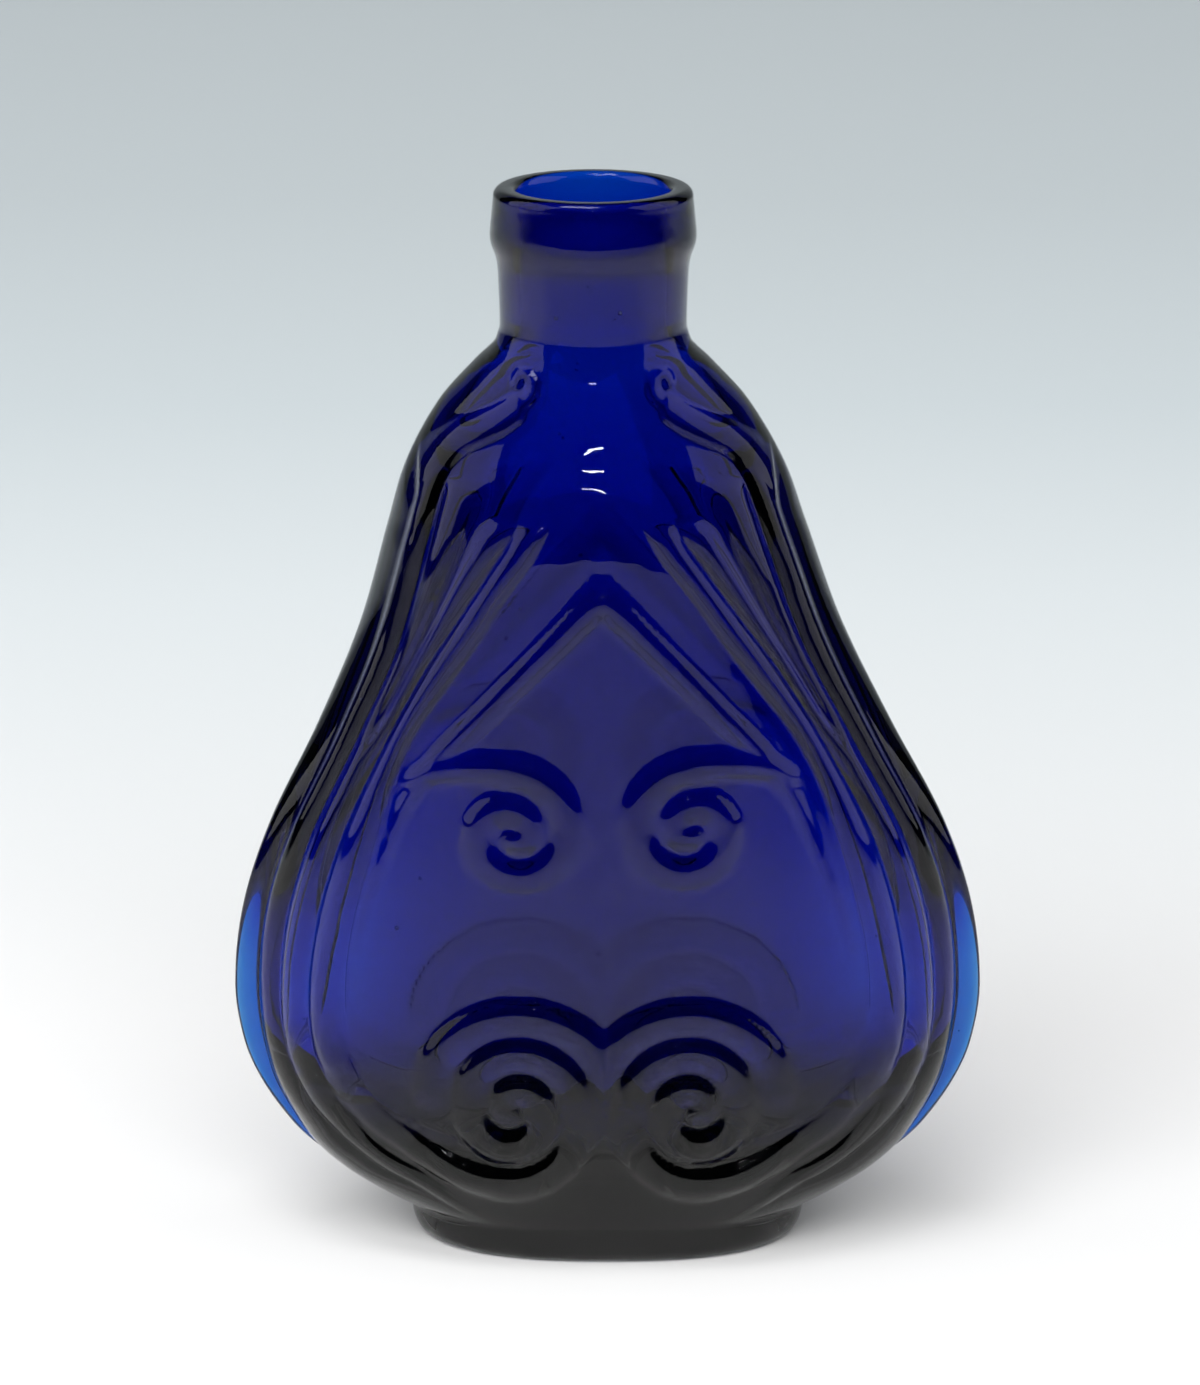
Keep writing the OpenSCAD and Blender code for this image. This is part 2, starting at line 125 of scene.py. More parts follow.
# Lines between the side ribs: share of the body's height, share of the half width
LINES = (
    [(0, 0.99), (0.03, 0.985), (0.054, 0.98), (0.097, 0.962), (0.142, 0.952), (0.18, 0.942), (0.25, 0.934),
     (0.45, 0.934), (0.66, 0.922), (0.8, 0.906), (0.89, 0.888), (0.935, 0.862), (1, 0.86)],
    [(0, 0.6), (0.051, 0.685), (0.061, 0.735), (0.084, 0.788), (0.099, 0.817), (0.126, 0.852), (0.156, 0.865),
     (0.189, 0.873), (0.25, 0.873), (0.44, 0.873), (0.56, 0.857), (0.66, 0.828), (0.76, 0.806), (0.83, 0.786),
     (0.87, 0.755), (0.9, 0.63), (0.925, 0.48), (0.96, 0.42), (1, 0.45)],
    [(0, 0.5), (0.067, 0.599), (0.081, 0.654), (0.097, 0.702), (0.12, 0.737), (0.141, 0.763), (0.169, 0.779),
     (0.196, 0.792), (0.277, 0.797), (0.32, 0.794), (0.49, 0.78), (0.58, 0.748), (0.65, 0.69), (0.704, 0.604),
     (0.76, 0.495), (0.8, 0.41), (0.88, 0.32), (1, 0.3)],
    [(0, 0.36), (0.08, 0.43), (0.102, 0.503), (0.108, 0.543), (0.126, 0.599), (0.148, 0.636), (0.174, 0.669),
     (0.205, 0.69), (0.286, 0.695), (0.44, 0.686), (0.52, 0.692), (0.576, 0.665), (0.636, 0.581),
     (0.686, 0.493), (0.732, 0.404), (0.78, 0.285), (0.84, 0.19), (1, 0.16)],
)

# Relief of the ribs and scrolls: a ridge is this share of its own width high, up to the limit
RIDGE_SHARE = 0.23
RIDGE_MAX = 1.08
# Fullness of a ridge: 2 is a plain arch, and more gives a broader crest with steeper sides
RIDGE_FULL = 2.2
# The same share and limit for the side ribs
RIB_SHARE = 0.2
RIB_MAX = 1.15
# Share of that height that the side ribs keep where they run in to the foot
RIB_LOW = 0.55
# Ridges drawn as a height over a distance from the middle: distance, height, width, share of the relief
GABLE = [(-3, 94.2, 4.9, 1), (0, 96.3, 5.0, 1), (2.2, 95.0, 4.9, 1), (5.9, 91.3, 4.4, 1),
         (15.4, 81.2, 3.9, 1), (22.7, 73.2, 3.4, 1), (26.6, 67.5, 2.3, 1), (29.8, 59.2, 1.9, 1),
         (32.4, 51.5, 1.7, 1), (34.5, 44.2, 1.2, 1)]
UPPER_ARM = [(11, 72.8, 4.6, 1), (17.5, 72.8, 4.5, 1), (20.3, 72.5, 4.4, 1), (23, 71.9, 4, 1),
             (25, 70.9, 3.2, 1), (27, 69.4, 2, 1)]
LOWER_ARM = [(11, 12.6, 5.5, 1), (16.4, 12.8, 5.3, 1), (19.9, 13.8, 5, 0.9), (23.8, 15.8, 4.6, 0.7),
             (27.8, 18.4, 4.4, 0.5), (31.7, 21.0, 4.3, 0.5), (34.2, 23.7, 4.2, 0.5), (36.3, 26.8, 4.2, 0.5),
             (37.6, 30, 4.2, 0.5)]
HOOK_ARM = [(8.6, 122.4, 3.4, 1), (10.2, 121.6, 3.9, 1), (12.8, 120, 4.2, 1), (15.5, 118.6, 4.3, 1),
            (18.4, 117, 4.3, 1), (21.2, 114.2, 4.2, 1), (23.4, 110.6, 4, 1), (24.6, 107, 3.6, 1)]
# Distances from the middle between which each of these ridges runs
GABLE_ENDS = (-2, 35)
UPPER_ARM_ENDS = (11, 27.5)
LOWER_ARM_ENDS = (11, 38.5)
HOOK_ARM_ENDS = (8.4, 25)
# How far in from such an end a ridge is at its full height
ARM_FADE = 1.5
# Eyes of the scrolls: distance from the middle and height
UPPER_EYE = (12.2, 63.7)
LOWER_EYE = (12.45, 24.3)
HOOK_EYE = (9.7, 124.9)
# Windings of the scrolls: outer radius, pitch, starting angle, way round
UPPER_WIND = (11.4, 5.4, 90, -1)
LOWER_WIND = (13.2, 5.35, -90, 1)
HOOK_WIND = (3.3, 2.4, -90, 1)
# Turns that each of them has, counted in from the outer radius, and those of the brow over the lower pair
UPPER_TURNS = (-0.08, 1.9)
LOWER_TURNS = (-0.1, 2.2)
BROW_TURNS = (-0.76, -0.22)
HOOK_TURNS = (-0.02, 1.05)
# Share of a turn over which a scroll fades in at its outer end, and out at its eye
FADE_IN = 0.08
FADE_OUT = 0.06
# The lower scrolls hang this much fuller below their eyes than above them
HANG = 1.12
# How much deeper the relief is towards the foot, the height under which it deepens, and over how much
DEEPER = 0.3
DEEPER_FROM = 22
DEEPER_OVER = 8
# Middle line of the pattern: height, distance to the right; and how much higher the upper right scroll is
PATTERN_MID = [(0, -0.5), (30, -0.5), (64, -0.8), (95, -0.75), (120, -2), (130, -2)]
UPPER_RIGHT_LIFT = 0.6


def clamp01(t):
    return np.clip(t, 0.0, 1.0)


def smooth(t):
    c = clamp01(t)
    return c * c * (3 - 2 * c)


def mix(a, b, t):
    return a + (b - a) * t


def curve(points, x, column=1):
    """Smooth curve through one column of a list of points."""
    table = np.array(points, float)
    px, py = table[:, 0], table[:, column]
    i = np.clip(np.searchsorted(px, x, side="right") - 1, 0, len(px) - 2)
    after = np.minimum(np.arange(len(px)) + 1, len(px) - 1)
    before = np.maximum(np.arange(len(px)) - 1, 0)
    grade = (py[after] - py[before]) / (px[after] - px[before])
    d = px[i + 1] - px[i]
    t = clamp01((x - px[i]) / d)
    return (py[i] * (1 + 2 * t) * (1 - t) ** 2 + grade[i] * d * t * (1 - t) ** 2
            + py[i + 1] * t * t * (3 - 2 * t) + grade[i + 1] * d * t * t * (t - 1))


# ---- The plain form: half width, half depth and sideways shift at a height ----

FULL_Z = FOOT_H + FULL_RISE * BODY_H


def rise(z):
    return clamp01((z - FOOT_H) / BODY_H)


def half_w(z):
    return BODY_HALF * curve(OUTLINE, rise(z))


def half_d(z):
    way = clamp01((z - FOOT_H) / (FULL_Z - FOOT_H))
    low = mix(FOOT_TOP_HALF_D, BODY_HALF_D, 1 - (1 - way) ** DEPTH_IN)
    high = mix(NECK_R, BODY_HALF_D, curve(DEPTH, (z - FULL_Z) / (NECK_Z - FULL_Z)))
    return np.where(z < FULL_Z, low, high)


def shift(z):
    return LEAN * smooth((z - LEAN_FROM * NECK_Z) / (LEAN_OVER * NECK_Z))


def round_top(z):
    return smooth((rise(z) - ROUND_FROM) / (1 - ROUND_FROM))


def oval(u, px, py):
    return np.maximum(0, 1 - np.minimum(1, np.abs(u)) ** px) ** (1 / py)


def section_y(u, z):
    """Depth of the plain section at a share u of its half width, with the fin outside the first line."""
    px = mix(SECTION_ACROSS, 2, round_top(z))
    py = mix(mix(FOOT_THROUGH, SECTION_THROUGH, smooth(rise(z) / FOOT_BLEND)), 2, round_top(z))
    line = curve(LINES[0], rise(z))
    past = clamp01((np.abs(u) - line) / (1 - line))
    finned = np.maximum(half_d(z) * oval(u / line, px, py), FIN * np.sqrt(1 - past ** 2))
    share = smooth((FIN_TOP - z) / (FIN_TOP - FIN_FULL)) * smooth(z / FOOT_H - 1)
    return mix(half_d(z) * oval(u, px, py), finned, share)


# ---- The relief: how far the skin stands out from the plain form ----


def bump(f):
    """Rounded ridge, 0 at its edges and 1 on the crest."""
    return 1 - np.minimum(1, np.abs(2 * f - 1)) ** RIDGE_FULL


def arch(f):
    """Plain arch, 0 at its edges and 1 on the crest."""
    return 1 - np.minimum(1, np.abs(2 * f - 1)) ** 2


def ridge_h(width):
    return np.minimum(RIDGE_MAX, RIDGE_SHARE * width)


def rib_h(width):
    return min(RIB_MAX, RIB_SHARE * width)


def volute(x, z, outer, pitch, start, way, first, last):
    """A ridge that winds in by one pitch a turn, from one turn count to another, about an eye."""
    r = np.hypot(x, z)
    b = np.mod(way * (np.degrees(np.arctan2(z, x)) - start), 360) / 360
    n = (outer - r) / pitch - b
    whole = np.floor(n)
    turns = whole + b
    ends = smooth((turns - first) / FADE_IN) * smooth((last - turns) / FADE_OUT)
    return ridge_h(pitch) * bump(n - whole) * ends


# Step over which the slope of such a ridge is taken
ARM_STEP = 0.2


def arm(points, x, z, low, high):
    """A ridge along a curve that gives its height over the distance from the middle."""
    slope = (curve(points, x + ARM_STEP) - curve(points, x - ARM_STEP)) / (2 * ARM_STEP)
    d = (z - curve(points, x)) / np.sqrt(1 + slope * slope)
    width = curve(points, x, 2)
    inside = smooth((x - low) / ARM_FADE) * smooth((high - x) / ARM_FADE)
    return ridge_h(width) * curve(points, x, 3) * bump(0.5 + d / width) * inside


def side_relief(x, z, lift):
    """Relief of one side of a panel, at a distance x out from the middle."""
    upper = volute(UPPER_EYE[0] - x, z - UPPER_EYE[1] - lift, *UPPER_WIND, *UPPER_TURNS)
    low = z - LOWER_EYE[1]
    low = np.where(low < 0, low / HANG, low)
    lower = volute(LOWER_EYE[0] - x, low, *LOWER_WIND, *LOWER_TURNS)
    brow = volute(LOWER_EYE[0] - x, low, *LOWER_WIND, *BROW_TURNS)
    hook = volute(HOOK_EYE[0] - x, z - HOOK_EYE[1], *HOOK_WIND, *HOOK_TURNS)
    arms = [arm(GABLE, x, z, *GABLE_ENDS), arm(UPPER_ARM, x, z - lift, *UPPER_ARM_ENDS),
            arm(LOWER_ARM, x, z, *LOWER_ARM_ENDS), arm(HOOK_ARM, x, z, *HOOK_ARM_ENDS)]
    relief = np.maximum.reduce([upper, lower, np.where(x > 0, brow, 0), hook, *arms])
    return relief * (1 + DEEPER * smooth((DEEPER_FROM - z) / DEEPER_OVER))


# ---- The grid: columns run from the side seam to the middle of a panel ----

# Columns of each strip of a quarter: the fin, the three strips of ribs, and the panel
FIN_COLS = 9
STRIP_COLS = (12, 18, 12)
PANEL_COLS = 54
# Rows of the body up to the top of the scrolls, from there to the hooks, and from there to the neck
SCROLL_ROWS = 126
RIB_ROWS = 30
HOOK_ROWS = 43
SCROLL_TOP = 82
HOOK_FROM = 112
# Where the columns gather at the hooks, as shares of the half width, and over how much height they move there
HOOK_LINES = (0.86, 0.7, 0.44, 0.3)
HOOK_BLEND = 6
# How much the fin's columns crowd to the seam, and those of a strip to its edges
FIN_CROWD = 1.7
STRIP_CROWD = 0.6
# Columns round the neck and the cavity
ROUND_COLS = 108
# Rows down the cavity, how much they crowd to its top, and rows over the dome in its floor
CAVITY_ROWS = 32
CAVITY_CROWD = 0.8
KICK_ROWS = 9
# The second strip holds two ribs above this height, and the share of it that the outer one takes
FORK_Z = 72
FORK_OVER = 8
FORK = 0.53
# Share of the body's height over which the ribs rise from the foot
RIB_START = 0.05
# Height from which the side ribs rise to their full relief, the one at which the hook's rib has run out, and
# the one from which the third strip's rib starts, each with the height over which that happens
LOW_FROM, LOW_OVER = 24, 22
HOOK_RIB_TOP, HOOK_RIB_FADE = 117, 5
THIRD_FROM, THIRD_OVER = 23, 7
# Heights at which the ribs end: (outer rib of the second strip, inner rib, rib of the third strip)
TIPS = (111.8, 106.6, 106.9)
TIP_ROUND = 2.6


def dome(z, top):
    """1 below a rounded end, 0 above it."""
    return np.sqrt(1 - clamp01((z - top + TIP_ROUND) / TIP_ROUND) ** 2)


def columns(z, lines):
    """Share of the half width from the middle for each column of one row, from the seam inwards."""
    near = float(smooth((z - HOOK_FROM) / HOOK_BLEND))
    stops = [mix(line, hook, near) for line, hook in zip(lines, HOOK_LINES)]
    share = [mix(1, stops[0], (i / FIN_COLS) ** FIN_CROWD) for i in range(FIN_COLS)]
    for k, count in enumerate(STRIP_COLS):
        for i in range(count):
            f = mix(i / count, 0.5 - 0.5 * math.cos(math.pi * i / count), STRIP_CROWD)
            share.append(mix(stops[k], stops[k + 1], f))
    share += [mix(stops[3], 0, i / PANEL_COLS) for i in range(PANEL_COLS + 1)]
    return np.array(share)


def strip_relief(z, u, lines):
    """Relief of the side ribs in one row."""
    place = [(line * half_w(z), section_y(np.array(line), z)) for line in lines]
    width = [math.hypot(a[0] - b[0], a[1] - b[1]) for a, b in zip(place, place[1:])]
    part = [(a - u) / (a - b) for a, b in zip(lines, lines[1:])]
    low = smooth(rise(z) / RIB_START) * mix(RIB_LOW, 1, smooth((z - LOW_FROM) / LOW_OVER))
    hook_rib = rib_h(width[0]) * arch(part[0]) * smooth((HOOK_RIB_TOP - z) / HOOK_RIB_FADE) * low
    split = smooth((z - FORK_Z) / FORK_OVER)
    one = rib_h(width[1]) * arch(part[1])
    outer = rib_h(width[1] * FORK) * arch(part[1] / FORK) * dome(z, TIPS[0])
    inner = rib_h(width[1] * (1 - FORK)) * arch((part[1] - FORK) / (1 - FORK)) * dome(z, TIPS[1])
    forked = mix(one, outer + inner, split) * low
    third = rib_h(width[2]) * arch(part[2]) * dome(z, TIPS[2]) * smooth((z - THIRD_FROM) / THIRD_OVER)
    return np.maximum.reduce([hook_rib, forked, third])


def panel_relief(x, z, side):
    """Relief of the panel at one side of its middle, with that of the other side where it crosses over."""
    out = side * (x - float(curve(PATTERN_MID, z)))
    height = np.full_like(x, z)
    return side_relief(out, height, UPPER_RIGHT_LIFT * (side > 0))


# Step, as a share of the half width, over which the skin's direction is taken, and the share that is the seam
SKIN_STEP = 0.002
SEAM_EDGE = 0.999


def quarter_row(z, side):
    """Points of one height from the seam to the middle of the front panel, left (-1) or right (1)."""
    lines = [float(curve(line, rise(z))) for line in LINES]
    u = columns(z, lines)
    w = half_w(z)
    tx = w * 2 * SKIN_STEP
    ty = section_y(u + SKIN_STEP, z) - section_y(u - SKIN_STEP, z)
    t = np.hypot(tx, ty)
    nx, ny = -ty / t, tx / t
    nx[u > SEAM_EDGE], ny[u > SEAM_EDGE] = 1.0, 0.0
    x0 = shift(z) + side * u * w
    h = np.maximum(strip_relief(z, u, lines), panel_relief(x0, z, side))
    return np.stack([x0 + side * h * nx, -(section_y(u, z) + h * ny), np.full_like(u, z)], axis=1)


def full_row(z):
    left, right = quarter_row(z, -1), quarter_row(z, 1)
    left[-1] = right[-1] = (left[-1] + right[-1]) / 2
    front = np.concatenate([left, right[-2::-1]])
    back = front[-2:0:-1] * (1, -1, 1)
    return np.concatenate([front, back])


def scaled_row(row, kx, ky, z):
    return np.stack([row[:, 0] * kx, row[:, 1] * ky, np.full(len(row), z)], axis=1)


ROUND = np.radians(180 + 360 * np.arange(ROUND_COLS) / ROUND_COLS)


def round_row(r, z):
    return np.stack([LEAN + r * np.cos(ROUND), r * np.sin(ROUND), np.full(ROUND_COLS, z)], axis=1)


def cavity_row(z):
    """Points of the inside of the body at one height."""
    t = clamp01((z - FLOOR_Z) / FLOOR_ROUND)
    grow = mix(FLOOR_SHARE, 1, math.sqrt(1 - (1 - t) ** 2))
    neck_wall = NECK_R - BORE_R
    w = (half_w(z) - mix(SIDE_WALL, neck_wall, round_top(z))) * grow
    wall = mix(PANEL_WALL, SHOULDER_WALL, smooth((z - THIN_FROM) / THIN_OVER))
    d = (half_d(z) - mix(wall, neck_wall, round_top(z))) * grow
    # The corners of the oval are fuller in the body and round at the bore
    p, q = mix(CAVITY_ACROSS, 2, round_top(z)), mix(CAVITY_THROUGH, 2, round_top(z))
    x = np.cos(ROUND)
    y = np.sign(np.sin(ROUND)) * oval(x, p, q)
    return np.stack([shift(z) + w * x, d * y, np.full(ROUND_COLS, z)], axis=1)


def arc(cx, cz, r, a0, a1, n):
    return [(cx + r * math.cos(a), cz + r * math.sin(a)) for a in np.radians(np.linspace(a0, a1, n))]


# Outside of the neck and the applied lip: height, radius
NECK_SIDE = [(NECK_Z, NECK_R), (133, 12.95), (136, 13.05), (138.8, 13.2), (140.3, 13.45), (141.3, 13.8),
             (142.3, 14.15), (143.4, 14.25), (144.4, 14.18), (148.6, 13.78)]
NECK_START = NECK_Z + 0.5
# Rounding of the lip's outer edge and of the mouth, and the angle at which each of them starts or ends
LIP_EDGE = 1.3
MOUTH_EDGE = 1.2
EDGE_ANGLE = 5
# Depths under the rim between which the mouth narrows to the bore, and at which the rows of the bore start
FLARE_FROM, FLARE_TO, BORE_FROM = 1.6, 7, 8
# Rows up the neck, round each edge, and down the mouth and the bore
NECK_ROWS, EDGE_ROWS, MOUTH_ROWS = 26, 8, 7


def neck_rows():
    """Rows up the neck, over the lip and down the bore."""
    z = np.linspace(NECK_START, NECK_SIDE[-1][0], NECK_ROWS)
    profile = list(zip(curve(NECK_SIDE, z), z))
    top_r = NECK_SIDE[-1][1]
    profile += arc(top_r - LIP_EDGE, BOTTLE_H - LIP_EDGE, LIP_EDGE, EDGE_ANGLE, 90, EDGE_ROWS)
    profile += arc(MOUTH_R + MOUTH_EDGE, BOTTLE_H - MOUTH_EDGE, MOUTH_EDGE, 90, 180 - EDGE_ANGLE, EDGE_ROWS)
    profile += [(mix(MOUTH_R, BORE_R, smooth(t)), mix(BOTTLE_H - FLARE_FROM, BOTTLE_H - FLARE_TO, t))
                for t in np.linspace(0, 1, MOUTH_ROWS)]
    profile += [(BORE_R, z) for z in np.linspace(BOTTLE_H - BORE_FROM, NECK_Z, MOUTH_ROWS)]
    return [round_row(r, z) for r, z in profile]


# Rows over the hollow under the foot and up the foot's side
FOOT_ROWS = 6
# Angle from which the hollow's rows run out to the standing ring
HOLLOW_FROM = 85


def foot_rows():
    """Rows from the hollow under the foot out over the standing ring and up to the body."""
    foot = full_row(FOOT_H)
    rows = []
    for a in np.radians(np.linspace(HOLLOW_FROM, 0, FOOT_ROWS)):
        kx = (FOOT_HALF_W - STANDING_RING) / FOOT_TOP_HALF_W * math.cos(a)
        ky = (FOOT_HALF_D - STANDING_RING) / FOOT_TOP_HALF_D * math.cos(a)
        rows.append(scaled_row(foot, kx, ky, PUSH_UP * math.sin(a)))
    for t in np.linspace(0, 1, FOOT_ROWS + 1)[:-1]:
        b = math.sqrt(1 - (1 - t) ** 2)
        kx = mix(FOOT_HALF_W / FOOT_TOP_HALF_W, 1, b)
        ky = mix(FOOT_HALF_D / FOOT_TOP_HALF_D, 1, b)
        rows.append(scaled_row(foot, kx, ky, FOOT_H * t))
    return rows


def bottle_rows():
    """Rows of the whole skin, from under the foot up the outside and down the inside to the floor."""
    heights = np.concatenate([
        np.linspace(FOOT_H, SCROLL_TOP, SCROLL_ROWS)[:-1],
        np.linspace(SCROLL_TOP, HOOK_FROM, RIB_ROWS)[:-1],
        np.linspace(HOOK_FROM, NECK_Z, HOOK_ROWS)])
    rows = foot_rows() + [full_row(z) for z in heights]
    rows += neck_rows()
    down = np.linspace(0, 1, CAVITY_ROWS + 1)[1:] ** CAVITY_CROWD
    rows += [cavity_row(mix(NECK_Z, FLOOR_Z, t)) for t in down]
    floor = rows[-1]
    spread = np.linspace(1, 0, KICK_ROWS + 2)[1:-1]
    return rows + [scaled_row(floor, k, k, FLOOR_Z + KICK_UP * math.cos(math.pi / 2 * k) ** KICK_POWER)
                   for k in spread]


# Seeds, the small bubbles of old glass: how many, the number that starts their draws, their radii, the skin
# of glass over them, how finely each is made, and the height of the lowest
SEEDS = 80
SEED_DRAW = 11
SEED_R = (0.12, 0.34)
SEED_SKIN = (0.03, 0.12)
SEED_RINGS, SEED_SIDES = 3, 6
SEED_LOWEST = FOOT_H + 3


def seed_points():
    """Middles and radii of the seeds, just under the skin of the body and the neck."""
    draw = np.random.default_rng(SEED_DRAW)
    seeds = []
    for z in draw.uniform(SEED_LOWEST, NECK_SIDE[-1][0], SEEDS):
        row = full_row(z) if z < NECK_Z else round_row(float(curve(NECK_SIDE, z)), z)
        i = int(draw.integers(1, len(row) - 1))
        r = mix(*SEED_R, draw.random() ** 2)
        along = row[i + 1 - len(row)] - row[i - 1]
        out = np.array((along[1], -along[0], 0)) / np.hypot(along[0], along[1])
        seeds.append((row[i] - out * (r + mix(*SEED_SKIN, draw.random())), r))
    return seeds


def seed_faces(at):
    """Faces of one bubble whose points start at a number, from its top to its bottom; they look in."""
    n = SEED_SIDES
    last = at + 1 + n * SEED_RINGS
    faces = []
    for i in range(n):
        j = (i + 1) % n
        faces += [(at, at + 1 + j, at + 1 + i), (last, last - n + i, last - n + j)]
        for k in range(SEED_RINGS - 1):
            a = at + 1 + n * k
            faces.append((a + i, a + j, a + n + j, a + n + i))
    return faces


def seed_mesh(at):
    """Points and faces of all the bubbles, numbered from a number on."""
    verts, faces = [], []
    for middle, r in seed_points():
        faces += seed_faces(at + len(verts))
        ring = [(r * math.cos(a) * math.cos(b), r * math.cos(a) * math.sin(b), r * math.sin(a))
                for a in np.linspace(math.pi / 2, -math.pi / 2, SEED_RINGS + 2)[1:-1]
                for b in np.linspace(0, 2 * math.pi, SEED_SIDES + 1)[:-1]]
        verts += [middle + p for p in [(0, 0, r), *ring, (0, 0, -r)]]
    return verts, faces


def around(row):
    """How far round the bottle each point of a row is, from the left seam over the front."""
    x, y = row[:, 0] - row[:, 0].mean(), row[:, 1]
    return np.mod(np.arctan2(-y, -x), 2 * math.pi)


def bridge(low, high, low_at, high_at):
    """Triangles between two rows that have different numbers of points."""
    a, b = around(low), around(high)
    a[0] = b[0] = 0
    a, b = np.append(a, 2 * math.pi), np.append(b, 2 * math.pi)
    faces, i, j = [], 0, 0
    while i < len(low) or j < len(high):
        p, q = low_at + i % len(low), high_at + j % len(high)
        if j == len(high) or (i < len(low) and a[i + 1] <= b[j + 1]):
            faces.append((p, low_at + (i + 1) % len(low), q))
            i += 1
        else:
            faces.append((p, high_at + (j + 1) % len(high), q))
            j += 1
    return faces


def mesh_object(name, rows):
    """A closed mesh through rows of points, with a middle point at each end, and the seeds in its glass."""
    first = rows[0].mean(axis=0)
    last = rows[-1].mean(axis=0)
    verts = np.concatenate(rows + [first[None], last[None]])
    start = np.cumsum([0] + [len(row) for row in rows])
    faces = []
    for i in range(len(rows) - 1):
        n = len(rows[i])
        if n != len(rows[i + 1]):
            faces += bridge(rows[i], rows[i + 1], int(start[i]), int(start[i + 1]))
            continue
        j = np.arange(n)
        a, b = start[i] + j, start[i] + (j + 1) % n
        faces += np.stack([a, b, b + n, a + n], axis=1).tolist()
    low, high = len(verts) - 2, len(verts) - 1
    n, m, top = len(rows[0]), len(rows[-1]), int(start[-2])
    faces += [((i + 1) % n, i, low) for i in range(n)]
    faces += [(top + i, top + (i + 1) % m, high) for i in range(m)]
    seeds, seeds_faces = seed_mesh(len(verts))
    verts = np.concatenate([verts, seeds]) * MM
    mesh = bpy.data.meshes.new(name)
    mesh.from_pydata(verts.tolist(), [], faces + seeds_faces)
    mesh.update()
    mesh.polygons.foreach_set("use_smooth", [True] * len(mesh.polygons))
    obj = bpy.data.objects.new(name, mesh)
    bpy.context.scene.collection.objects.link(obj)
    return obj


# ---- Materials ----


def node(tree, kind, **values):
    """A shader node with values set on its sockets or, where it has no such socket, on the node itself."""
    made = tree.nodes.new(kind)
    for name, value in values.items():
        if name in made.inputs:
            made.inputs[name].default_value = value
        else:
            setattr(made, name, value)
    return made


# Cobalt glass: roughness and index of its skin, and the colour and density of what it absorbs
GLASS_ROUGHNESS = 0.01
GLASS_INDEX = 1.41
GLASS_COLOUR = (0.0, 0.57, 0.886, 1)
GLASS_DENSITY = 2200.0


def cobalt_glass():
    mat = bpy.data.materials.new("cobalt_glass")
    mat.use_nodes = True
    tree = mat.node_tree
    tree.nodes.clear()
    out = node(tree, "ShaderNodeOutputMaterial")
    glass = node(tree, "ShaderNodeBsdfPrincipled", **{
        "Base Color": (1, 1, 1, 1), "Roughness": GLASS_ROUGHNESS, "IOR": GLASS_INDEX,
        "Transmission Weight": 1.0})
    volume = node(tree, "ShaderNodeVolumeAbsorption", Color=GLASS_COLOUR, Density=GLASS_DENSITY)
    where = node(tree, "ShaderNodeTexCoord")
    # Slow waves of the blown wall under the finer grain that the mould's skin leaves
    waves = node(tree, "ShaderNodeTexNoise", Scale=90.0, Detail=2.0, Roughness=0.5)
    grain = node(tree, "ShaderNodeTexNoise", Scale=260.0, Detail=2.0, Roughness=0.5)
    wavy = node(tree, "ShaderNodeBump", Strength=0.25, Distance=0.0004)
    rough = node(tree, "ShaderNodeBump", Strength=0.2, Distance=0.00004)
    for noise, bumped in ((waves, wavy), (grain, rough)):
        tree.links.new(where.outputs["Object"], noise.inputs["Vector"])
        tree.links.new(noise.outputs["Fac"], bumped.inputs["Height"])
    tree.links.new(wavy.outputs["Normal"], rough.inputs["Normal"])
    tree.links.new(rough.outputs["Normal"], glass.inputs["Normal"])
    tree.links.new(glass.outputs["BSDF"], out.inputs["Surface"])
    tree.links.new(volume.outputs["Volume"], out.inputs["Volume"])
    return mat


bottle = mesh_object("bottle_glass", bottle_rows())
bottle.data.materials.append(cobalt_glass())
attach(bottle, "root")
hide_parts("base", "front_shell", "back_shell", "neck", "lip_ring")

# ---- Stage, light and camera ----

# Painted shade: tone of the paper at distances back from the bottle, in metres, standing in for the light
# falling off in front of it and behind it
PAPER_PAINTED_SHADE_TONES = [(-0.55, 0.31), (-0.3, 0.44), (-0.2, 0.6), (-0.1, 0.68), (-0.05, 0.71), (0.1, 0.71),
               (0.225, 0.705), (0.37, 0.69), (0.54, 0.64), (0.77, 0.62), (1.03, 0.65)]
# Distances over which the paper's painted shade turns from neutral to a cool grey, with less red and more
# blue
PAINTED_COOL_SHADE_FROM, PAINTED_COOL_SHADE_TO = 0.1, 0.5
PAINTED_SHADE_LESS_RED, PAINTED_SHADE_MORE_BLUE = 0.09, 0.037
PAPER_ROUGHNESS = 0.6


